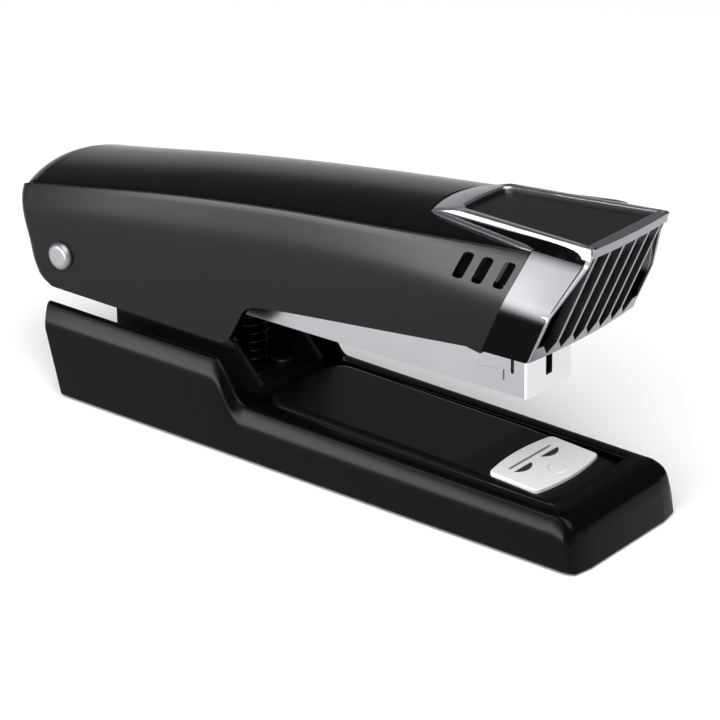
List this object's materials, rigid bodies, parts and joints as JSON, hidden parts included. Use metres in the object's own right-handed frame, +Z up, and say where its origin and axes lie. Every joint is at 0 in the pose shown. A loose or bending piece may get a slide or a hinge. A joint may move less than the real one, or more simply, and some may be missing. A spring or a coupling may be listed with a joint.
{
  "type": "stapler",
  "caption": "Desk stapler with a sprung plated magazine, a hinged black cover with a chromed slotted nose and a turning anvil in a stepped base.",
  "frame": {"origin": "on the desk, under the middle of the base, on the centre plane", "axes": "+X from the hinge towards the nose, +Y across the stapler, +Z up from the desk"},
  "size_m": [0.1604, 0.04, 0.0687],
  "materials": {
    "moulded_abs_base": "glossy moulded",
    "painted_deck": "satin black enamel",
    "blackened_steel": "black enamel",
    "zinc_plate": "zinc plated sheet",
    "pad_rubber": "matte",
    "steel_screw": "zinc plated",
    "polished_rivet": "polished",
    "spring_steel": "drawn wire",
    "nylon_spacer": "moulded",
    "nickel_steel": "nickel plated",
    "button_plastic": "moulded",
    "cover_abs": "semi-gloss moulded",
    "chromed_abs": "chrome plated plastic",
    "backing_plastic": "moulded",
    "pad_soft_touch": "smooth moulded"
  },
  "bodies": {
    "base": {"base_shell": "moulded_abs_base", "base_deck": "painted_deck", "base_plate": "zinc_plate", "base_pad": "pad_rubber", "base_screws": "steel_screw", "hinge_bracket": "blackened_steel", "bracket_rivets": "blackened_steel", "hinge_pin": "polished_rivet", "pivot_spacers": "nylon_spacer", "lift_spring": "spring_steel", "anvil_spring": "spring_steel"},
    "anvil_carrier": {"anvil_button": "button_plastic"},
    "anvil": {"anvil_plate": "nickel_steel", "anvil_post": "nickel_steel"},
    "magazine": {"magazine_channel": "nickel_steel", "magazine_front": "nickel_steel", "staple_rail": "nickel_steel", "staple_strip": "spring_steel", "spring_block": "nylon_spacer", "follower_rod": "spring_steel", "rod_post": "nickel_steel", "follower_spring": "spring_steel", "return_spring": "spring_steel"},
    "pusher": {"follower": "nylon_spacer"},
    "handle": {"handle_cover": "cover_abs", "nose_trim": "chromed_abs", "nose_grille": "chromed_abs", "grille_backing": "backing_plastic", "thumb_pad": "pad_soft_touch", "driver_blade": "spring_steel", "driver_holder": "backing_plastic", "handle_frame": "zinc_plate", "frame_screws": "steel_screw"}
  },
  "joints": [
    {"name": "magazine_hinge", "type": "hinge", "parent": "base", "child": "magazine", "pos_m": [-0.0721, 0, 0.0329], "axis": [0, 1, 0], "range_deg": [-35, 6.95], "stiffness_Nm_per_rad": 0.5, "springref_deg": -9.17, "deforming": ["lift_spring"]},
    {"name": "handle_hinge", "type": "hinge", "parent": "magazine", "child": "handle", "pos_m": [-0.0721, 0, 0.0329], "axis": [0, 1, 0], "range_deg": [-53, 3.4], "stiffness_Nm_per_rad": 0.5, "springref_deg": -5.73, "deforming": ["return_spring"]},
    {"name": "follower_slide", "type": "slide", "parent": "magazine", "child": "pusher", "axis": [-0.9999, 0, -0.0162], "range_m": [0, 0.03], "stiffness_N_per_m": 25, "springref_m": -0.04, "deforming": ["follower_spring"]},
    {"name": "anvil_lift", "type": "slide", "parent": "base", "child": "anvil_carrier", "axis": [0.0558, 0, 0.9984], "range_m": [0, 0.0008], "stiffness_N_per_m": 400, "springref_m": -0.002, "deforming": ["anvil_spring"]},
    {"name": "anvil_turn", "type": "hinge", "parent": "anvil_carrier", "child": "anvil", "pos_m": [0.0495, 0, 0.0115], "axis": [0.0558, 0, 0.9984], "range_deg": [0, 180]}
  ]
}
